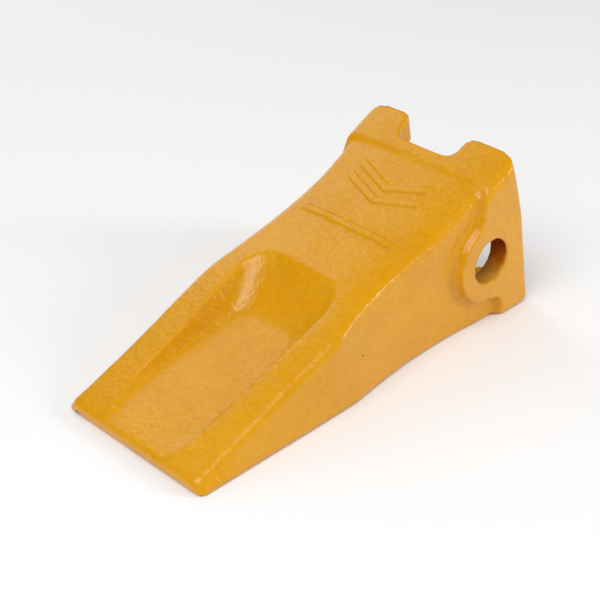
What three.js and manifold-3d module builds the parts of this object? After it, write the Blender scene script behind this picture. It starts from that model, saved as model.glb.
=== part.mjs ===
// Excavator bucket tooth. A hollow cast steel point slides over the nose of an adapter. One cross pin
// through both of its ears keeps it there, and a rubber-backed lock ring grips the pin.
//
// Millimetres. +X runs from the digging tip to the socket's mouth, +Y across the tooth, the way the pin
// comes out, and +Z up. The origin is on the flat sole, in the middle plane, straight below the pin's axis.

import * as THREE from "three";
import { mergeVertices } from "three/addons/utils/BufferGeometryUtils.js";
import Module from "manifold-3d";

const wasm = await Module();
wasm.setup();

// ---------- driving dimensions ----------

const WIDTH = 112; // across the ears, and across the blade at the sole
const TIP_X = -221; // the cutting edge
const REAR_X = 35; // the lower rear edge of the ears
const REAR_LEAN = THREE.MathUtils.degToRad(8); // the rear end leans forward, square to the adapter's nose

const PIN_Z = 41; // height of the pin's axis
const BORE_RADIUS = 13.5;
const PIN_RADIUS = 12.5;
const PIN_LENGTH = 107;
const PIN_DRAWN_BACK = 16; // how far the pin stands out of its seat, towards +Y

const COLLAR_FRONT = -3.4; // where the raised band round the mouth begins
const COLLAR_TOP = [89.5, 0.487]; // height of the band's top above x = 0, and its slope
const COLLAR_CROWN = 1;
const COLLAR_ROUND = 7;
const BOSS_RADIUS = 25.5; // the round pad about each bore
const NOTCH_SHIFT = 2.6; // how far the rear notch sits off the middle plane, towards +Y
const EAR_WALL = 14; // wall between the ear's outer face and the socket

const RUNNING_GAP = 0.3;
const BEYOND = 40; // how far a cutter runs past what it cuts

// ---------- profiles along the tooth ----------

// A smooth curve through a few points [x, value], by cubic Hermite pieces whose slopes never overshoot.
function profile(points) {
  const count = points.length;
  const secants = points.slice(1).map(([x, v], i) => (v - points[i][1]) / (x - points[i][0]));
  const slopes = points.map((_, i) => {
    if (i === 0) return secants[0];
    if (i === count - 1) return secants[count - 2];
    const [before, after] = [secants[i - 1], secants[i]];
    return before * after <= 0 ? 0 : (2 * before * after) / (before + after);
  });
  return (x) => {
    const i = Math.max(0, Math.min(count - 2, points.findLastIndex(([start]) => start <= x)));
    const [[x0, v0], [x1, v1]] = [points[i], points[i + 1]];
    const length = x1 - x0;
    const t = (x - x0) / length;
    if (t < 0) return v0 + slopes[0] * (x - x0);
    if (t > 1) return v1 + slopes[count - 1] * (x - x1);
    const [t2, t3] = [t * t, t * t * t];
    return (
      (2 * t3 - 3 * t2 + 1) * v0 +
      (t3 - 2 * t2 + t) * length * slopes[i] +
      (3 * t2 - 2 * t3) * v1 +
      (t3 - t2) * length * slopes[i + 1]
    );
  };
}

const HALF = WIDTH / 2;

// Height of the top's edges: the wedge of the blade, a flatter middle, and the rise to the collar.
const topEdge = profile([
  [TIP_X, 6.8], [-189, 18.5], [-155, 32.2], [-124, 44.6], [-97, 54.4], [-70, 61.7],
  [-42, 69.2], [-31, 73.2], [-19, 79.2], [-6, 85.2], [20, 97], [60, 116],
]);
// Half the width at the sole: a straight blade, its shoulder, and the waist before the ears.
const soleHalf = profile([
  [TIP_X, HALF], [-118, HALF], [-84, 52], [-60, 49.8], [-36, 49.2], [0, 51], [60, 52],
]);
// Half the width at the top's edges.
const topHalf = profile([
  [TIP_X, 52.5], [-195, 53.2], [-155, 53.3], [-124, 54.4],
  [-97, 50.6], [-70, 48.6], [-31, 49.8], [60, 50.6],
]);

// How far the top's middle stands above its edges.
const crown = profile([
  [TIP_X, 0.4], [TIP_X + 15, 1.4], [-124, 1.6], [-88, 2.3], [-34, 2.3], [-6, 1.4], [60, 1.4],
]);

const TOP_ROUND = 5;
const SOLE_ROUND = 1.5;
const ARC_STEPS = 4;
const CROWN_STEPS = 10;
const STATION = 5.5; // spacing of the sections along the tooth
const HOLLOW = 1.25; // the scoop's walls rise as this power of their way out, so that they are hollow

// ---------- solids ----------

// A closed THREE geometry as a manifold solid.
function solid(geometry) {
  const bare = geometry.clone();
  bare.deleteAttribute("normal");
  bare.deleteAttribute("uv");
  const merged = mergeVertices(bare, 1e-4);
  return new wasm.Manifold(
    new wasm.Mesh({
      numProp: 3,
      vertProperties: new Float32Array(merged.attributes.position.array),
      triVerts: new Uint32Array(merged.index.array),
    }),
  );
}

// A manifold solid back as a THREE geometry.
function geometryOf(body) {
  const mesh = body.getMesh();
  const geometry = new THREE.BufferGeometry();
  const positions = new Float32Array(mesh.numVert * 3);
  for (let i = 0; i < mesh.numVert; i++) {
    positions.set(mesh.vertProperties.subarray(i * mesh.numProp, i * mesh.numProp + 3), i * 3);
  }
  geometry.setAttribute("position", new THREE.BufferAttribute(positions, 3));
  geometry.setIndex(new THREE.BufferAttribute(new Uint32Array(mesh.triVerts), 1));
  geometry.computeVertexNormals();
  return geometry;
}

// A skin over rings of [x, y, z] points, all with as many points, closed by a flat cap at each end. The
// rings turn anticlockwise as seen from the last one. A cap is triangulated in the plane of its axes a and b.
function skin(rings, a, b) {
  const count = rings[0].length;
  const faces = [];
  for (let r = 0; r + 1 < rings.length; r++) {
    for (let i = 0; i < count; i++) {
      const [here, next] = [r * count + i, r * count + ((i + 1) % count)];
      faces.push(here, next, here + count, next, next + count, here + count);
    }
  }
  const cap = (ring) => {
    const outline = ring.map((point) => new THREE.Vector2(point[a], point[b]));
    return THREE.ShapeUtils.triangulateShape(outline, []).flat();
  };
  const last = (rings.length - 1) * count;
  faces.push(...cap(rings[0]).reverse());
  faces.push(...cap(rings.at(-1)).map((index) => last + index));
  const geometry = new THREE.BufferGeometry();
  geometry.setAttribute("position", new THREE.Float32BufferAttribute(rings.flat(2), 3));
  geometry.setIndex(faces);
  return solid(geometry);
}

// A skin over sections [x, [[y, z], ...]] along the tooth.
function loft(sections) {
  return skin(sections.map(([x, points]) => points.map(([y, z]) => [x, y, z])), 1, 2);
}

// Points of an arc about [y, z], both ends included. Angles are in quarter turns from +Y towards +Z.
function arc(y, z, radius, from, to) {
  return Array.from({ length: ARC_STEPS + 1 }, (_, i) => {
    const angle = ((from + ((to - from) * i) / ARC_STEPS) * Math.PI) / 2;
    return [y + radius * Math.cos(angle), z + radius * Math.sin(angle)];
  });
}

// Half of a section of the casting from the sole up to the middle of the top, mirrored to a whole one.
function crownedSection(sole, top, height, rise, round = TOP_ROUND) {
  const soleRound = Math.min(SOLE_ROUND, height * 0.3);
  const topRound = Math.min(round, height * 0.45);
  const flat = top - topRound;
  const crest = Array.from({ length: CROWN_STEPS / 2 }, (_, i) => {
    const y = flat * (1 - (i + 1) / (CROWN_STEPS / 2));
    return [y, height + rise * (1 - (y / flat) ** 4)];
  });
  const right = [
    ...arc(sole - soleRound, soleRound, soleRound, -1, 0),
    ...arc(top - topRound, height - topRound, topRound, 0, 1),
    ...crest,
  ];
  const left = right.slice(0, -1).map(([y, z]) => [-y, z]).reverse();
  return [...right, ...left];
}

// A plain round-cornered rectangle.
function roundedSection(half, low, high, radius) {
  return [
    ...arc(half - radius, low + radius, radius, -1, 0),
    ...arc(half - radius, high - radius, radius, 0, 1),
    ...arc(radius - half, high - radius, radius, 1, 2),
    ...arc(radius - half, low + radius, radius, 2, 3),
  ];
}

function stations(from, to, spacing) {
  const count = Math.ceil((to - from) / spacing);
  return Array.from({ length: count + 1 }, (_, i) => from + ((to - from) * i) / count);
}

// A side view outline in X and Z, as a plate from -half to +half across the tooth.
function sidePlate(outline, half) {
  const settings = { depth: 2 * half, bevelEnabled: false, curveSegments: 10 };
  const plate = new THREE.ExtrudeGeometry(outline, settings);
  plate.rotateX(Math.PI / 2).translate(0, half, 0);
  return solid(plate);
}

// A round bar or ring across the tooth, on the pin's axis: lathe points are [radius, y].
function turned(points, segments = 40) {
  const profilePoints = points.map(([radius, y]) => new THREE.Vector2(radius, y));
  return new THREE.LatheGeometry(profilePoints, segments).translate(0, 0, PIN_Z);
}

function bar(radius, from, to, segments) {
  return turned([[0, from], [radius, from], [radius, to], [0, to]], segments);
}

// ---------- the casting ----------

// The wedge from the cutting edge to beyond the rear end.
function wedge() {
  // The edge is blunt: how far behind it, and how much lower and narrower a section is there.
  const nose = [[0, 1.2, 3.2], [1.2, 0.3, 1.4], [3.5, 0, 0]];
  const rest = stations(TIP_X + 8, REAR_X + 6, STATION).map((x) => [x - TIP_X, 0, 0]);
  return loft(
    [...nose, ...rest].map(([behind, lower, narrower]) => {
      const x = TIP_X + behind;
      const section = crownedSection(soleHalf(x), topHalf(x), topEdge(x), crown(x));
      const middle = topEdge(x) / 2;
      const squash = 1 - lower / middle;
      const narrow = 1 - narrower / HALF;
      return [x, section.map(([y, z]) => [y * narrow, middle + (z - middle) * squash])];
    }),
  );
}

// The band round the mouth and the round pads about the bores, standing proud of the body.
function collar() {
  const top = (x) => COLLAR_TOP[0] + COLLAR_TOP[1] * x;
  const section = (x) => crownedSection(HALF, HALF, top(x), COLLAR_CROWN, COLLAR_ROUND);
  const blank = loft(stations(-34, REAR_X + 6, 11).map((x) => [x, section(x)]));
  return blank.intersect(sidePlate(padOutline(), HALF + BEYOND));
}

// Seen from the side, the band is an upright strip. The round pad grows out of its front by soft hollows.
function padOutline() {
  const outline = new THREE.Shape();
  outline.moveTo(REAR_X + BEYOND, 140);
  outline.lineTo(COLLAR_FRONT, 140);
  outline.lineTo(COLLAR_FRONT, 87);
  outline.lineTo(COLLAR_FRONT - 3, 80);
  const [upper, lower] = [0.695 * Math.PI, 1.46 * Math.PI];
  const [bossX, bossZ] = [BOSS_RADIUS * Math.cos(upper), PIN_Z + BOSS_RADIUS * Math.sin(upper)];
  outline.quadraticCurveTo(COLLAR_FRONT - 4, 68, bossX, bossZ);
  outline.absarc(0, PIN_Z, BOSS_RADIUS, upper, lower, false);
  outline.quadraticCurveTo(11.5, 15, 10, 6);
  outline.lineTo(8.5, -1);
  outline.lineTo(REAR_X + BEYOND, -1);
  outline.closePath();
  return outline;
}

// The hollow that takes the adapter's nose, tapering on all four sides towards its blunt end.
function socket() {
  const [end, mouth] = [-83, REAR_X + 10];
  const half = profile([[end, 25], [-45, 33], [-8, 41], [0, HALF - EAR_WALL], [mouth, HALF - EAR_WALL + 1]]);
  const low = profile([[end, 18], [mouth, 10]]);
  const high = profile([[end, 40], [mouth, 92]]);
  const round = profile([[end, 7], [mouth, 12]]);
  const endChamfer = 2.5;
  return loft(
    [end, end + 2, ...stations(end + 6, mouth, 10)].map((x) => {
      const inset = x === end ? endChamfer : 0;
      return [x, roundedSection(half(x) - inset, low(x) + inset, high(x) - inset, round(x))];
    }),
  );
}

// Points along one side of the scoop's outline, from the cutting edge round the back corner to the
// middle plane.
function scoopSide(front, shoulder, swell, corner, turn, back) {
  const side = new THREE.Path();
  side.moveTo(...front);
  side.lineTo(...shoulder);
  side.quadraticCurveTo(...swell, ...corner);
  side.quadraticCurveTo(...turn, ...back);
  const [straight, bend, round] = side.curves;
  const rest = [...bend.getPoints(8).slice(1), ...round.getPoints(10).slice(1)];
  return [...straight.getPoints(8), ...rest].map(({ x, y }) => [x, y]);
}

// The scoop in the top of the blade. Its flat floor runs out to the cutting edge. Its walls rise from the
// floor's outline to the rim's outline in a hollow sweep, steep at the sides and lying back behind.
function scoop() {
  const [front, back] = [TIP_X - 5, -121.5];
  const floorSide = scoopSide([front, 21], [-190, 27.6], [-152, 29.4], [-131, 22.6], [back, 19.5], [back, 7]);
  const rimSide = scoopSide([front, 24], [-190, 31], [-155, 30.4], [-112, 34.8], [-93, 34.8], [-93.5, 14]);
  const floorZ = (x) => 31.6 + 0.245 * (x - back);
  const rimZ = (x) => Math.max(topEdge(x), floorZ(x) + 0.5) + crown(x);
  const ring = (share) => {
    const side = floorSide.map(([x0, y0], i) => {
      const [x1, y1] = rimSide[i];
      const [z0, z1] = [floorZ(x0), rimZ(x1)];
      return [x0 + (x1 - x0) * share, y0 + (y1 - y0) * share, z0 + (z1 - z0) * share ** HOLLOW];
    });
    return [...side.map(([x, y, z]) => [x, -y, z]), ...side.reverse()];
  };
  return skin([0, 0.12, 0.3, 0.5, 0.75, 1, 1.3].map(ring), 0, 1);
}

// The rear end seen from above, from the middle plane out to one side, which is 1 for +Y and -1 for -Y: a
// notch between two lugs, cast a little towards +Y, and a round outer corner. The points are [x, y], with y
// counted outwards and x = 0 at the lugs' ends.
function rearEdge(corner, side) {
  const depth = 16.6;
  const inner = 15 + side * NOTCH_SHIFT;
  const outer = 23.6 + side * NOTCH_SHIFT;
  const edge = new THREE.Path();
  edge.moveTo(-depth, 0);
  edge.lineTo(-depth, inner);
  edge.quadraticCurveTo(-depth, inner + 5, -depth + 5, inner + 6);
  edge.lineTo(-5, outer - 2);
  edge.quadraticCurveTo(0, outer - 1, 0, outer + 5);
  edge.lineTo(0, HALF - corner);
  edge.absarc(-corner, HALF - corner, corner, 0, Math.PI / 2, false);
  edge.lineTo(-corner, HALF + BEYOND);
  return edge.getPoints(5).map(({ x, y }) => [x, y]);
}

// Everything behind the leaning rear end. Its outer corners grow rounder towards the top.
function rearCut() {
  const ring = (z, corner) => {
    const left = rearEdge(corner, 1);
    const right = rearEdge(corner, -1).slice(1).map(([x, y]) => [x, -y]).reverse();
    const outline = [...right, ...left, [BEYOND, HALF + BEYOND], [BEYOND, -HALF - BEYOND]];
    return outline.map(([x, y]) => [REAR_X - Math.tan(REAR_LEAN) * z + x, y, z]).reverse();
  };
  return skin([ring(-10, 1.2), ring(60, 1.5), ring(84, 6), ring(120, 18)], 0, 1);
}

// The seat for the lock ring, sunk in the inner face of the +Y ear.
const SEAT = { radius: 21.5, depth: 5, face: HALF - EAR_WALL };

function castPoint() {
  const seat = solid(bar(SEAT.radius, SEAT.face - 6, SEAT.face + SEAT.depth));
  return wedge()
    .add(collar())
    .subtract(rearCut())
    .subtract(socket())
    .subtract(scoop())
    .subtract(solid(bar(BORE_RADIUS, -HALF - BEYOND, HALF + BEYOND)))
    .subtract(seat);
}

// ---------- the pin and its lock ring ----------

// A plain steel bar with chamfered ends, and the groove that the lock ring grips at its driven end.
function crossPin() {
  const [start, end] = [PIN_DRAWN_BACK - PIN_LENGTH / 2, PIN_DRAWN_BACK + PIN_LENGTH / 2];
  const [chamfer, grooveDepth, grooveWidth] = [2, 1.6, 5.4];
  const groove = SEAT.face + SEAT.depth / 2 + PIN_DRAWN_BACK;
  const [grooveFrom, grooveTo] = [groove - grooveWidth / 2, groove + grooveWidth / 2];
  return turned([
    [0, start],
    [PIN_RADIUS - chamfer, start],
    [PIN_RADIUS, start + chamfer],
    [PIN_RADIUS, grooveFrom - 1],
    [PIN_RADIUS - grooveDepth, grooveFrom],
    [PIN_RADIUS - grooveDepth, grooveTo],
    [PIN_RADIUS, grooveTo + 1],
    [PIN_RADIUS, end - chamfer],
    [PIN_RADIUS - chamfer, end],
    [0, end],
  ]);
}

const RING = {
  inner: PIN_RADIUS + RUNNING_GAP,
  outer: 17,
  from: SEAT.face + RUNNING_GAP,
  to: SEAT.face + SEAT.depth - RUNNING_GAP,
  chamfer: 0.5,
};
const RING_GAP = 6; // the split in the steel ring

// A ring of rectangular section with broken edges.
function ring(inner, outer) {
  const { from, to, chamfer } = RING;
  return turned([
    [inner, from + chamfer],
    [inner + chamfer, from],
    [outer - chamfer, from],
    [outer, from + chamfer],
    [outer, to - chamfer],
    [outer - chamfer, to],
    [inner + chamfer, to],
    [inner, to - chamfer],
    [inner, from + chamfer],
  ]);
}

// The steel ring is split, so that it can spring open over the pin.
function lockRing() {
  const gap = new THREE.BoxGeometry(RING_GAP, WIDTH, RING.outer * 2).translate(0, 0, PIN_Z + RING.outer);
  return geometryOf(solid(ring(RING.inner, RING.outer)).subtract(solid(gap)));
}

const lockRubber = () => ring(RING.outer + RUNNING_GAP, SEAT.radius - RUNNING_GAP);

// ---------- assembly ----------

const paint = new THREE.MeshStandardMaterial({ color: 0xde9800, roughness: 0.35, metalness: 0 });
const steel = new THREE.MeshStandardMaterial({ color: 0x8d9094, roughness: 0.4, metalness: 1 });
const springSteel = new THREE.MeshStandardMaterial({ color: 0x4e5257, roughness: 0.45, metalness: 1 });
const rubber = new THREE.MeshStandardMaterial({ color: 0x1b1b1c, roughness: 0.8, metalness: 0 });

function piece(name, geometry, material) {
  const mesh = new THREE.Mesh(geometry, material);
  mesh.name = name;
  return mesh;
}

const tooth = new THREE.Group();
tooth.add(
  piece("tooth_point", geometryOf(castPoint()), paint),
  piece("retaining_pin", crossPin(), steel),
  piece("lock_ring", lockRing(), springSteel),
  piece("lock_ring_rubber", lockRubber(), rubber),
);

export default tooth;
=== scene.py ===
"""An excavator bucket tooth: a hollow cast point in glossy yellow enamel, with its cross pin and lock ring.

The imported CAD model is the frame. Here the casting gets the surface of a real one: rounded edges, filled
corners, the ripple and grain of sand-cast steel under thick paint, and raised marks on its top. The pin, the
lock ring and its rubber get their finely turned shapes. Everything is in metres, with +X from the digging
tip to the socket's mouth, +Y across the tooth, the way the pin comes out, and +Z up from the sole.
"""
import math

import bmesh
import bpy
import numpy as np
from mathutils import Matrix, Vector


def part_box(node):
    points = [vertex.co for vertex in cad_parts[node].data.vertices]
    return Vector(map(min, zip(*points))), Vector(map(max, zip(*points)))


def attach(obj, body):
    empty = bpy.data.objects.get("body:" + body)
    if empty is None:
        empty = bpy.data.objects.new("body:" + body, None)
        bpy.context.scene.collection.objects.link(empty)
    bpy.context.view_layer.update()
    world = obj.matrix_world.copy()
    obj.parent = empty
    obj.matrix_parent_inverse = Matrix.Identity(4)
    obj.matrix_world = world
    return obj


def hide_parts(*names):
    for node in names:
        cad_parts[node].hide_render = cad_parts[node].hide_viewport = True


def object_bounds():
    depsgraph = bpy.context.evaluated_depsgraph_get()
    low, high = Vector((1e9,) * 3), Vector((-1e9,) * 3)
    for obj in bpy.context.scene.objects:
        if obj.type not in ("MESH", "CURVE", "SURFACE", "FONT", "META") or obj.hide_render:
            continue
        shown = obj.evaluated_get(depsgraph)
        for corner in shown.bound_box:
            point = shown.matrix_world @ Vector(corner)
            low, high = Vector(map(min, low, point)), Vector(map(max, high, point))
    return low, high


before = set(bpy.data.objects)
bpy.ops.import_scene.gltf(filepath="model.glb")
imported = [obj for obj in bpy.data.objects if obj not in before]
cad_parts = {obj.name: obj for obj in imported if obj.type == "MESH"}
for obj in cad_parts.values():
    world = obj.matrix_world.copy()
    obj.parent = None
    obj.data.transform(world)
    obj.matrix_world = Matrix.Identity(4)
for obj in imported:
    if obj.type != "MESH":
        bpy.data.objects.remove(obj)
cad_bounds = [list(corner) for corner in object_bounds()]

MM = 0.001

tooth_low, tooth_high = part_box("tooth_point")
pin_low, pin_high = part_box("retaining_pin")
ring_low, ring_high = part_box("lock_ring")
rubber_low, rubber_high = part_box("lock_ring_rubber")

PIN_Z = (pin_low.z + pin_high.z) / 2
PIN_RADIUS = (pin_high.z - pin_low.z) / 2
BORE_GAP = 1 * MM  # between the pin and the bores it slides in
BORE_RADIUS = PIN_RADIUS + BORE_GAP
RING_RADIUS = (ring_high.x - ring_low.x) / 2
RUBBER_RADIUS = (rubber_high.x - rubber_low.x) / 2
RUNNING_GAP = 0.3 * MM  # between the pin, the ring and the rubber
TIP_X = tooth_low.x
HALF_WIDTH = tooth_high.y

VOXEL = 1.4 * MM  # spacing of the casting's mesh
SEED = 11


# ---------- mesh helpers ----------


def new_object(name, mesh):
    piece = bpy.data.objects.new(name, mesh)
    bpy.context.scene.collection.objects.link(piece)
    return piece


def apply_modifiers(piece):
    bpy.context.view_layer.update()
    evaluated = piece.evaluated_get(bpy.context.evaluated_depsgraph_get())
    mesh = bpy.data.meshes.new_from_object(evaluated)
    piece.modifiers.clear()
    piece.data = mesh


def read_vectors(collection, attribute):
    flat = np.empty(len(collection) * 3)
    collection.foreach_get(attribute, flat)
    return flat.reshape(-1, 3)


def write_points(mesh, points):
    mesh.vertices.foreach_set("co", points.ravel())
    mesh.update()


def smooth_step(value, start, end):
    """0 before start, 1 after end, with a soft rise between. It falls instead where end is below start."""
    share = np.clip((value - start) / (end - start), 0, 1)
    return share * share * (3 - 2 * share)


def neighbour_mean(points, a, b):
    """The middle of each point's neighbours, for edges that join the points a to the points b."""
    count = len(points)
    neighbours = np.bincount(np.concatenate((a, b)), minlength=count)[:, None]
    sums = [np.bincount(a, points[b, i], count) + np.bincount(b, points[a, i], count) for i in range(3)]
    return np.stack(sums, axis=1) / neighbours


def edge_ends(mesh):
    ends = np.empty(len(mesh.edges) * 2, int)
    mesh.edges.foreach_get("vertices", ends)
    return ends.reshape(-1, 2).T


def soften(mesh, weight, rounds):
    """Draws each point towards the middle of its neighbours, as much as its weight says."""
    points = read_vectors(mesh.vertices, "co")
    a, b = edge_ends(mesh)
    for _ in range(rounds):
        points += 0.5 * weight[:, None] * (neighbour_mean(points, a, b) - points)
    write_points(mesh, points)


def fill_corners(mesh, weight, rounds):
    """Fills hollow corners only, as a cast fillet does: each point moves outwards or not at all."""
    points = read_vectors(mesh.vertices, "co")
    normals = read_vectors(mesh.vertices, "normal")
    a, b = edge_ends(mesh)
    for _ in range(rounds):
        outwards = ((neighbour_mean(points, a, b) - points) * normals).sum(axis=1)
        points += (0.5 * weight * np.maximum(outwards, 0))[:, None] * normals
    write_points(mesh, points)


def ripple(points, wavelength, random, waves=32):
    """A smooth random height at each point, about -1 to 1: waves near that length in random directions."""
    directions = random.normal(size=(waves, 3))
    directions /= np.linalg.norm(directions, axis=1)[:, None]
    lengths = wavelength * random.uniform(0.7, 1.5, waves)[:, None]
    phases = random.uniform(0, 2 * math.pi, waves)
    return np.sin(points @ (directions / lengths * 2 * math.pi).T + phases).sum(axis=1) / math.sqrt(waves)


# ---------- raised marks on the casting's top ----------

MARK_HEIGHT = 1 * MM
MARK_EDGE = 0.35 * MM  # half the width of a mark's sloping flank
MARK_MIDDLE = 2 * MM
MARK_LOWEST = 55 * MM  # the top is above this wherever it has a mark

CHEVRON_TIPS = [-38 * MM, -28.5 * MM]  # two nested chevrons that point to the digging tip
CHEVRON_HALF = 27 * MM
CHEVRON_SWEEP = 9 * MM  # how far back an arm's end is
CHEVRON_ARM = 4.6 * MM  # length of an arm's section along X

RIB_FRONT, RIB_BACK = -60 * MM, -55.4 * MM  # a straight rib across the top, ahead of them
RIB_HALF = 35 * MM


def chevron_depth(points, tip):
    """How far each point is inside a chevron, seen from above. It is negative outside."""
    off = np.abs(points[:, 1] - MARK_MIDDLE)
    front = points[:, 0] - tip - off * CHEVRON_SWEEP / CHEVRON_HALF
    square = CHEVRON_HALF / math.hypot(CHEVRON_HALF, CHEVRON_SWEEP)
    return np.minimum(np.minimum(front, CHEVRON_ARM - front) * square, CHEVRON_HALF - off)


def rib_depth(points):
    """How far each point is inside the straight rib, seen from above. It is negative outside."""
    along = np.minimum(points[:, 0] - RIB_FRONT, RIB_BACK - points[:, 0])
    return np.minimum(along, RIB_HALF - np.abs(points[:, 1] - MARK_MIDDLE))


def mark_depth(points):
    """How far each point is inside the nearest mark, and far outside away from the casting's top."""
    depths = [rib_depth(points)] + [chevron_depth(points, tip) for tip in CHEVRON_TIPS]
    on_top = points[:, 2] > MARK_LOWEST
    return np.where(on_top, np.max(depths, axis=0), -1)


def refine_mark_edges(mesh):
    """Splits the faces along the marks' edges, so that the mesh can hold their shape."""
    face_reach = 0.8 * MM
    fine = bmesh.new()
    fine.from_mesh(mesh)
    centres = np.array([face.calc_center_median() for face in fine.faces])
    near = np.abs(mark_depth(centres)) < MARK_EDGE + face_reach
    edges = {edge for face, chosen in zip(fine.faces, near) if chosen for edge in face.edges}
    bmesh.ops.subdivide_edges(fine, edges=list(edges), cuts=2, use_grid_fill=True)
    bmesh.ops.triangulate(fine, faces=[face for face in fine.faces if len(face.verts) > 4])
    fine.to_mesh(mesh)
    fine.free()
    mesh.update()


# ---------- the casting ----------


def pin_distance(points):
    """How far each point is from the pin's axis."""
    return np.hypot(points[:, 0], points[:, 2] - PIN_Z)


def bore_guard(points):
    """0 in the bores and in the lock ring's seat, which keep their size, and 1 away from them."""
    away = pin_distance(points)
    bore = smooth_step(away, BORE_RADIUS + 0.5 * MM, BORE_RADIUS + 3 * MM)
    at_seat = (points[:, 1] > ring_low.y - 4 * MM) & (points[:, 1] < ring_high.y + 3 * MM)
    seat = smooth_step(away, RUBBER_RADIUS + 1.5 * MM, RUBBER_RADIUS + 4.5 * MM)
    return np.where(at_seat, seat, 0.15 + 0.85 * bore)


def edge_softness(points):
    """How much the casting's edges round off: less at the cutting edge, at the sole and in the bores."""
    tip = 0.5 + 0.5 * smooth_step(points[:, 0], TIP_X + 6 * MM, TIP_X + 30 * MM)
    sole = 0.4 + 0.6 * smooth_step(points[:, 2], 2 * MM, 8 * MM)
    return tip * sole * bore_guard(points)


def bore_rims(points):
    """1 at the bores' outer rims and 0 away from them."""
    near = smooth_step(pin_distance(points), BORE_RADIUS + 4 * MM, BORE_RADIUS + 1.5 * MM)
    return near * (np.abs(points[:, 1]) > ring_high.y + 1.5 * MM)


def keep_bores_round(points):
    """Puts the points that have closed in on a bore back on its wall."""
    away = pin_distance(points)
    scale = np.where(away < BORE_RADIUS, BORE_RADIUS / np.maximum(away, 1e-9), 1)
    points[:, 0] *= scale
    points[:, 2] = PIN_Z + (points[:, 2] - PIN_Z) * scale


def rim_softness(points):
    """1 along the scoop's rim on the -Y side, which is rounder than the other, and 0 elsewhere."""
    x, y, z = points.T
    across = smooth_step(y, -42 * MM, -38 * MM) * smooth_step(y, -20 * MM, -25 * MM)
    along = smooth_step(x, TIP_X, TIP_X + 20 * MM) * smooth_step(x, -98 * MM, -112 * MM)
    return across * along * (z > 8 * MM)


def round_tip_corner(points, side, radius):
    """Rounds one corner of the cutting edge, as seen from above."""
    centre = np.array((TIP_X + radius, side * (HALF_WIDTH - radius)))
    offset = points[:, :2] - centre
    in_corner = (offset[:, 0] < 0) & (offset[:, 1] * side > 0)
    away = np.linalg.norm(offset, axis=1)
    scale = np.where(in_corner & (away > radius), radius / np.maximum(away, 1e-9), 1)
    points[:, :2] = centre + offset * scale[:, None]


def round_rear_corners(points, radius):
    """Rounds the ears' lower rear corners, as seen from the side."""
    back = points[:, 0] - (tooth_high.x - radius)
    down = tooth_low.z + radius - points[:, 2]
    in_corner = (back > 0) & (down > 0)
    scale = np.where(in_corner, np.maximum(back, down) / np.maximum(np.hypot(back, down), 1e-9), 1)
    points[:, 0] += back * (scale - 1)
    points[:, 2] -= down * (scale - 1)


def cast_surface(points, edge_share, random):
    """The height of the cast surface over the plain shape: long waves, small lumps, and ragged edges."""
    sunk = 0.25 * MM  # keeps the highest waves inside the CAD shape
    waves = 0.10 * MM * ripple(points, 34 * MM, random)
    lumps = 0.04 * MM * ripple(points, 9 * MM, random)
    ragged = 0.26 * MM * ripple(points, 5 * MM, random) * edge_share
    return waves + lumps + ragged - sunk


def make_casting():
    piece = new_object("cast_tooth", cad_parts["tooth_point"].data.copy())
    remesh = piece.modifiers.new("even_mesh", "REMESH")
    remesh.mode = "VOXEL"
    remesh.voxel_size = VOXEL
    apply_modifiers(piece)
    mesh = piece.data
    refine_mark_edges(mesh)
    plain = read_vectors(mesh.vertices, "co")
    weight = edge_softness(plain)
    soften(mesh, weight, rounds=3)
    soften(mesh, rim_softness(plain), rounds=8)
    soften(mesh, bore_rims(plain), rounds=6)
    fill_corners(mesh, bore_guard(plain), rounds=5)
    points = read_vectors(mesh.vertices, "co")
    moved = np.linalg.norm(points - plain, axis=1)
    normals = read_vectors(mesh.vertices, "normal")
    edge_share = smooth_step(moved, 0.15 * MM, 0.7 * MM)
    height = cast_surface(points, edge_share, np.random.default_rng(SEED)) * weight
    height += MARK_HEIGHT * smooth_step(mark_depth(points), -MARK_EDGE, MARK_EDGE)
    points += normals * height[:, None]
    keep_bores_round(points)
    round_tip_corner(points, side=1, radius=7 * MM)
    round_tip_corner(points, side=-1, radius=3 * MM)
    round_rear_corners(points, radius=6 * MM)
    write_points(mesh, np.clip(points, tooth_low, tooth_high))
    mesh.shade_smooth()
    return piece


# ---------- the pin, the lock ring and its rubber ----------


def rounded(corners, radius, closed=False, steps=5):
    """The same outline with each corner turned to a curve that starts at radius from it."""
    points = []
    count = len(corners)
    for i, corner in enumerate(corners):
        at = Vector(corner)
        if not closed and i in (0, count - 1):
            points.append(at)
            continue
        before, after = Vector(corners[i - 1]), Vector(corners[(i + 1) % count])
        reach = min(radius, (before - at).length * 0.45, (after - at).length * 0.45)
        first = at + (before - at).normalized() * reach
        last = at + (after - at).normalized() * reach
        for step in range(steps + 1):
            t = step / steps
            points.append(first * (1 - t) ** 2 + at * 2 * t * (1 - t) + last * t**2)
    return points


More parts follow.
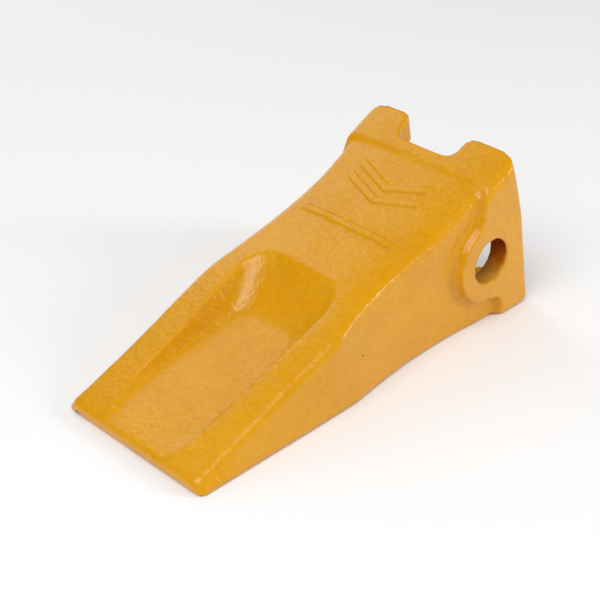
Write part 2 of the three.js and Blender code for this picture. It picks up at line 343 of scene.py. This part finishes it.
def lathe(name, outline, closed=False, start=0.0, turn=2 * math.pi, segments=128):
    """Turns an outline of (radius, y) points about the pin's axis. An open outline ends on the axis."""
    whole = abs(turn - 2 * math.pi) < 1e-9
    columns = segments if whole else segments + 1
    body = bmesh.new()
    rings = []
    for i in range(columns):
        angle = start + turn * i / segments
        c, s = math.cos(angle), math.sin(angle)
        rings.append([body.verts.new((r * c, y, PIN_Z + r * s)) for r, y in outline])
    spans = len(outline) if closed else len(outline) - 1
    for i in range(segments):
        here, there = rings[i], rings[(i + 1) % columns]
        for j in range(spans):
            k = (j + 1) % len(outline)
            body.faces.new((here[j], here[k], there[k], there[j]))
    if not whole:
        body.faces.new(rings[0])
        body.faces.new(rings[-1])
    bmesh.ops.remove_doubles(body, verts=body.verts, dist=1e-7)
    bmesh.ops.recalc_face_normals(body, faces=body.faces)
    mesh = bpy.data.meshes.new(name)
    body.to_mesh(mesh)
    body.free()
    mesh.shade_smooth()
    return new_object(name, mesh)


def make_pin():
    """A turned bar with chamfered ends, centre holes, and the groove that the lock ring grips."""
    drawn_back = (pin_low.y + pin_high.y) / 2
    groove = (ring_low.y + ring_high.y) / 2 + drawn_back
    half_groove, depth, flank, chamfer = 2.7 * MM, 1.6 * MM, 1 * MM, 2 * MM
    centre_radius, drill_radius = 3 * MM, 1.1 * MM
    centre_depth, drill_depth, drill_tip = 2.2 * MM, 3.8 * MM, 4.4 * MM

    def end(y, inwards):
        """One end's outline, from the bottom of its centre hole out to the bar's side."""
        return [
            (0, y + drill_tip * inwards),
            (drill_radius, y + drill_depth * inwards),
            (drill_radius, y + centre_depth * inwards),
            (centre_radius, y),
            (PIN_RADIUS - chamfer, y),
            (PIN_RADIUS, y + chamfer * inwards),
        ]

    outline = [
        *end(pin_low.y, 1),
        (PIN_RADIUS, groove - half_groove - flank),
        (PIN_RADIUS - depth, groove - half_groove),
        (PIN_RADIUS - depth, groove + half_groove),
        (PIN_RADIUS, groove + half_groove + flank),
        *reversed(end(pin_high.y, -1)),
    ]
    return lathe("cross_pin", rounded(outline, 0.5 * MM))


def ring_outline(inner, outer, low, high, radius):
    corners = [(inner, low), (outer, low), (outer, high), (inner, high)]
    return rounded(corners, radius, closed=True)


def make_lock_ring():
    """A split spring ring that opens upwards."""
    edge, half_slot = 0.7 * MM, 3.1 * MM
    outline = ring_outline(PIN_RADIUS + RUNNING_GAP, RING_RADIUS, ring_low.y, ring_high.y, edge)
    half_gap = math.asin(half_slot / PIN_RADIUS)
    start = math.pi / 2 + half_gap
    return lathe("spring_ring", outline, closed=True, start=start, turn=2 * (math.pi - half_gap))


def make_rubber():
    """The rubber that backs the ring, with a shallow bead moulded round its open face."""
    inner, outer, low, high = RING_RADIUS + RUNNING_GAP, RUBBER_RADIUS, rubber_low.y, rubber_high.y
    middle, bead, half_foot, half_crest = (inner + outer) / 2, 0.5 * MM, 1.2 * MM, 0.6 * MM
    corners = [
        (inner, low + bead),
        (middle - half_foot, low + bead),
        (middle - half_crest, low),
        (middle + half_crest, low),
        (middle + half_foot, low + bead),
        (outer, low + bead),
        (outer, high),
        (inner, high),
    ]
    return lathe("ring_rubber", rounded(corners, 0.6 * MM, closed=True), closed=True)


# ---------- materials ----------


class Nodes:
    """A material's node tree, with short calls to add and link nodes."""

    def __init__(self, name):
        self.material = bpy.data.materials.new(name)
        self.material.use_nodes = True
        self.tree = self.material.node_tree
        self.shader = self.tree.nodes["Principled BSDF"]

    def add(self, kind, **values):
        node = self.tree.nodes.new(kind)
        for key, value in values.items():
            setattr(node, key, value)
        return node

    def link(self, output, target):
        self.tree.links.new(output, target)

    def place(self):
        """The piece's own coordinates, in metres."""
        return self.add("ShaderNodeTexCoord").outputs["Object"]

    def vector(self, operation, first, second):
        node = self.add("ShaderNodeVectorMath", operation=operation)
        self.link(first, node.inputs[0])
        node.inputs[1].default_value = second
        return node

    def noise(self, scale, detail=3, roughness=0.55, seed=0.0):
        """Noise over the piece's own coordinates. Scale is in cells per metre."""
        node = self.add("ShaderNodeTexNoise")
        node.inputs["Scale"].default_value = scale
        node.inputs["Detail"].default_value = detail
        node.inputs["Roughness"].default_value = roughness
        self.link(self.vector("ADD", self.place(), (seed, seed, seed)).outputs[0], node.inputs["Vector"])
        return node.outputs["Fac"]

    def ramp(self, source, stops):
        """Colours, or greys given as numbers, at places along source."""
        node = self.add("ShaderNodeValToRGB")
        elements = node.color_ramp.elements
        while len(elements) < len(stops):
            elements.new(0.5)
        for element, (place, colour) in zip(elements, stops):
            element.position = place
            element.color = (*colour, 1) if isinstance(colour, tuple) else (colour, colour, colour, 1)
        self.link(source, node.inputs["Fac"])
        return node.outputs["Color"]

    def mix(self, share, first, second):
        """A colour mix: first where share is 0, second where it is 1. Each may be a value or an output."""
        node = self.add("ShaderNodeMix", data_type="RGBA")
        for socket, value in ((node.inputs[0], share), (node.inputs[6], first), (node.inputs[7], second)):
            if isinstance(value, tuple):
                socket.default_value = (*value, 1)
            elif isinstance(value, float):
                socket.default_value = value
            else:
                self.link(value, socket)
        return node.outputs[2]

    def maths(self, operation, first, second):
        node = self.add("ShaderNodeMath", operation=operation)
        for socket, value in zip(node.inputs, (first, second)):
            if isinstance(value, float):
                socket.default_value = value
            else:
                self.link(value, socket)
        return node.outputs[0]

    def bump(self, height, distance, strength=1.0, below=None):
        """The normal of a surface with that height, over the bumps of below if any."""
        node = self.add("ShaderNodeBump")
        node.inputs["Distance"].default_value = distance
        node.inputs["Strength"].default_value = strength
        self.link(height, node.inputs["Height"])
        if below is not None:
            self.link(below, node.inputs["Normal"])
        return node.outputs["Normal"]


# Where the paint is chipped to dark steel: a place on the casting and the chip's radius.
CHIPS = [
    ((TIP_X, 47 * MM, 0.5 * MM), 2.2 * MM),
    ((TIP_X + 1 * MM, 41 * MM, 0), 1.2 * MM),
    ((-104 * MM, -HALF_WIDTH + 2 * MM, 29 * MM), 1.3 * MM),
    ((-101.5 * MM, -HALF_WIDTH + 3 * MM, 26 * MM), 0.8 * MM),
]


def chip_mask(nodes):
    """1 in the chips and 0 elsewhere, with ragged outlines."""
    raggedness = 2.4 * MM
    wobble = nodes.maths("MULTIPLY", nodes.noise(1400, 3, 0.6, seed=2.7), raggedness)
    mask = None
    for place, radius in CHIPS:
        away = nodes.vector("DISTANCE", nodes.place(), place).outputs["Value"]
        edge = nodes.maths("ADD", away, wobble)
        chip = nodes.maths("LESS_THAN", edge, radius + raggedness / 2)
        mask = chip if mask is None else nodes.maths("MAXIMUM", mask, chip)
    return mask


def about_pin_axis(nodes):
    """The place on the surface, taken from the pin's axis, and its distance from that axis."""
    centred = nodes.vector("SUBTRACT", nodes.place(), (0, 0, PIN_Z)).outputs[0]
    radial = nodes.vector("MULTIPLY", centred, (1, 0, 1)).outputs[0]
    return centred, nodes.vector("LENGTH", radial, (0, 0, 0)).outputs["Value"]


def in_bores(nodes):
    """1 on the walls of the bores and 0 elsewhere."""
    wall_slack = 0.3 * MM
    return nodes.maths("LESS_THAN", about_pin_axis(nodes)[1], BORE_RADIUS + wall_slack)


def bore_painted_shade(nodes):
    """Painted shade in the bores: the paint is darkened to brown, darkest at the top of a bore, where its
    wall faces down, and lightest at its bottom.
    """
    split = nodes.add("ShaderNodeSeparateXYZ")
    nodes.link(nodes.place(), split.inputs[0])
    height = nodes.maths("SUBTRACT", split.outputs["Z"], PIN_Z - BORE_RADIUS)
    share = nodes.maths("DIVIDE", height, 2 * BORE_RADIUS)
    # noise breaks up the painted shade's gradient
    smears = nodes.maths("MULTIPLY", nodes.noise(120, 3, 0.6, seed=6.6), 0.3)
    # the painted shade's tones: lit at the bottom, shaded brown in the middle, darkest at the top
    lit_bottom, shaded_middle, dark = (0.68, 0.31, 0.03), (0.52, 0.12, 0.002), (0.20, 0.016, 0.003)
    return nodes.ramp(nodes.maths("ADD", share, smears), [(0.2, lit_bottom), (0.5, shaded_middle), (0.9, dark)])


def enamel():
    """Thick gloss enamel over sand-cast steel, with painted shade darkening it in the bores."""
    nodes = Nodes("yellow_enamel")
    broad = nodes.noise(22, 4, 0.5)
    fine = nodes.noise(260, 3, 0.6, seed=3.1)
    tone = nodes.ramp(broad, [(0.3, (0.685, 0.293, 0.001)), (0.7, (0.755, 0.346, 0.003))])
    speckle = nodes.ramp(fine, [(0.35, (0.625, 0.263, 0.001)), (0.6, (0.745, 0.346, 0.003))])
    # in the bores the enamel's colour gives way to painted shade
    paint = nodes.mix(in_bores(nodes), nodes.mix(0.35, tone, speckle), bore_painted_shade(nodes))
    chips = chip_mask(nodes)
    bare_steel = (0.035, 0.022, 0.016)
    nodes.link(nodes.mix(chips, paint, bare_steel), nodes.shader.inputs["Base Color"])
    gloss = nodes.ramp(nodes.noise(70, 4, 0.6, seed=5.3), [(0.3, 0.16), (0.7, 0.27)])
    nodes.link(nodes.mix(chips, gloss, (0.7, 0.7, 0.7)), nodes.shader.inputs["Roughness"])
    nodes.shader.inputs["IOR"].default_value = 1.48
    peel = nodes.bump(nodes.noise(330, 2, 0.5, seed=7.7), 0.42 * MM, 1.0)
    grain = nodes.bump(nodes.noise(900, 3, 0.65, seed=1.9), 0.16 * MM, 0.9, below=peel)
    nodes.link(grain, nodes.shader.inputs["Normal"])
    return nodes.material


def turning_lines(nodes, scale):
    """Fine lines that run round a turned piece: noise over the sum of the radius and the place along it."""
    centred, radius = about_pin_axis(nodes)
    split = nodes.add("ShaderNodeSeparateXYZ")
    nodes.link(centred, split.inputs[0])
    lines = nodes.add("ShaderNodeTexNoise", noise_dimensions="1D")
    nodes.link(nodes.maths("ADD", radius, split.outputs["Y"]), lines.inputs["W"])
    lines.inputs["Scale"].default_value = scale
    lines.inputs["Detail"].default_value = 4
    lines.inputs["Roughness"].default_value = 0.7
    return lines.outputs["Fac"]


def turned_steel(name, dark, light, rough):
    """Machined steel with turning lines and a patchy film of oil and oxide."""
    nodes = Nodes(name)
    patches = nodes.noise(60, 5, 0.65, seed=4.2)
    nodes.link(nodes.ramp(patches, [(0.35, dark), (0.65, light)]), nodes.shader.inputs["Base Color"])
    smears = nodes.ramp(nodes.noise(180, 4, 0.6, seed=8.4), [(0.3, rough * 0.8), (0.7, rough * 1.3)])
    nodes.link(smears, nodes.shader.inputs["Roughness"])
    nodes.shader.inputs["Metallic"].default_value = 1.0
    lines = nodes.bump(turning_lines(nodes, 2600), 0.05 * MM, 0.7)
    pits = nodes.bump(nodes.noise(700, 3, 0.6, seed=6.1), 0.05 * MM, 0.4, below=lines)
    nodes.link(pits, nodes.shader.inputs["Normal"])
    return nodes.material


def black_rubber():
    """Moulded rubber: near black, matte, with a fine grain and a grey bloom."""
    nodes = Nodes("black_rubber")
    bloom = nodes.noise(140, 4, 0.6, seed=9.9)
    tone = nodes.ramp(bloom, [(0.35, (0.012, 0.012, 0.013)), (0.7, (0.035, 0.035, 0.036))])
    nodes.link(tone, nodes.shader.inputs["Base Color"])
    nodes.shader.inputs["Roughness"].default_value = 0.75
    grain = nodes.bump(nodes.noise(1500, 3, 0.6, seed=0.4), 0.06 * MM, 0.7)
    nodes.link(grain, nodes.shader.inputs["Normal"])
    return nodes.material


def finish_piece(piece, node, body, material):
    """The piece stands for its CAD node, rides on the body, and has this material."""
    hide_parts(node)
    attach(piece, body)
    piece.data.materials.clear()
    piece.data.materials.append(material)


def bright_steel():
    return turned_steel("pin_steel", dark=(0.30, 0.295, 0.29), light=(0.46, 0.455, 0.45), rough=0.34)


def blue_black_steel():
    return turned_steel("spring_steel", dark=(0.10, 0.105, 0.12), light=(0.20, 0.205, 0.22), rough=0.4)


finish_piece(make_casting(), "tooth_point", "tooth", enamel())
finish_piece(make_pin(), "retaining_pin", "pin", bright_steel())
finish_piece(make_lock_ring(), "lock_ring", "tooth", blue_black_steel())
finish_piece(make_rubber(), "lock_ring_rubber", "tooth", black_rubber())


# ---------- stage ----------


def plain_material(name, colour, roughness):
    nodes = Nodes(name)
    nodes.shader.inputs["Base Color"].default_value = (*colour, 1)
    nodes.shader.inputs["Roughness"].default_value = roughness
    return nodes.material


def make_floor():
    half, below = 3.0, 0.1 * MM
    level = cad_bounds[0][2] - below
    corners = [(-half, -half, level), (half, -half, level), (half, half, level), (-half, half, level)]
    mesh = bpy.data.meshes.new("floor")
    mesh.from_pydata(corners, [], [(0, 1, 2, 3)])
    floor = new_object("floor", mesh)
    mesh.materials.append(plain_material("pale_floor", (0.93, 0.93, 0.93), 0.9))


def look_from(azimuth, elevation, roll=0.0):
    """The turn of a thing that looks at its target from that direction. Azimuth 0 looks along +Y."""
    turn = Matrix.Rotation(azimuth, 4, "Z") @ Matrix.Rotation(math.pi / 2 - elevation, 4, "X")
    return turn @ Matrix.Rotation(roll, 4, "Z")


def make_camera():
    azimuth, elevation, roll = math.radians(-42.7), math.radians(32.4), math.radians(-2.2)
    distance, aim_ahead, aim_height = 0.8366, 4.45 * MM, 36.4 * MM
    target = Vector(((cad_bounds[0][0] + cad_bounds[1][0]) / 2 - aim_ahead, 0, aim_height))
    data = bpy.data.cameras.new("camera")
    data.sensor_width = 36
    data.lens = 90.7
    data.clip_end = 20
    camera = bpy.data.objects.new("camera", data)
    bpy.context.scene.collection.objects.link(camera)
    turn = look_from(azimuth, elevation, roll)
    away = turn.to_3x3() @ Vector((0, 0, distance))
    camera.matrix_world = Matrix.Translation(target + away) @ turn
    bpy.context.scene.camera = camera


LAMP_TARGET = Vector((-90 * MM, 0, 40 * MM))
LAMP_DISTANCE = 1.4


def softbox(name, azimuth, elevation, width, height, power):
    """An oblong area light that looks at the tooth's middle. Angles are in degrees, and power in watts."""
    data = bpy.data.lights.new(name, "AREA")
    data.shape = "RECTANGLE"
    data.size = width
    data.size_y = height
    data.energy = power
    lamp = bpy.data.objects.new(name, data)
    bpy.context.scene.collection.objects.link(lamp)
    turn = look_from(math.radians(azimuth), math.radians(elevation))
    away = turn.to_3x3() @ Vector((0, 0, LAMP_DISTANCE))
    lamp.matrix_world = Matrix.Translation(LAMP_TARGET + away) @ turn


def make_sky(strength):
    """An even fill that the gloss doesn't mirror, as from a tent with dark panels."""
    world = bpy.data.worlds.new("sky")
    bpy.context.scene.world = world
    world.use_nodes = True
    world.node_tree.nodes["Background"].inputs["Color"].default_value = (1, 1, 1, 1)
    world.node_tree.nodes["Background"].inputs["Strength"].default_value = strength
    world.cycles_visibility.glossy = False


make_floor()
make_camera()
make_sky(0.47)
softbox("key_box", azimuth=39, elevation=22, width=0.28, height=0.40, power=5.6)
softbox("back_box", azimuth=165, elevation=44, width=0.6, height=0.6, power=1.7)
softbox("backdrop_box", azimuth=160, elevation=13, width=0.5, height=0.5, power=1.5)
softbox("left_box", azimuth=-70, elevation=56, width=0.9, height=0.9, power=11)
bpy.context.scene.view_settings.view_transform = "Standard"
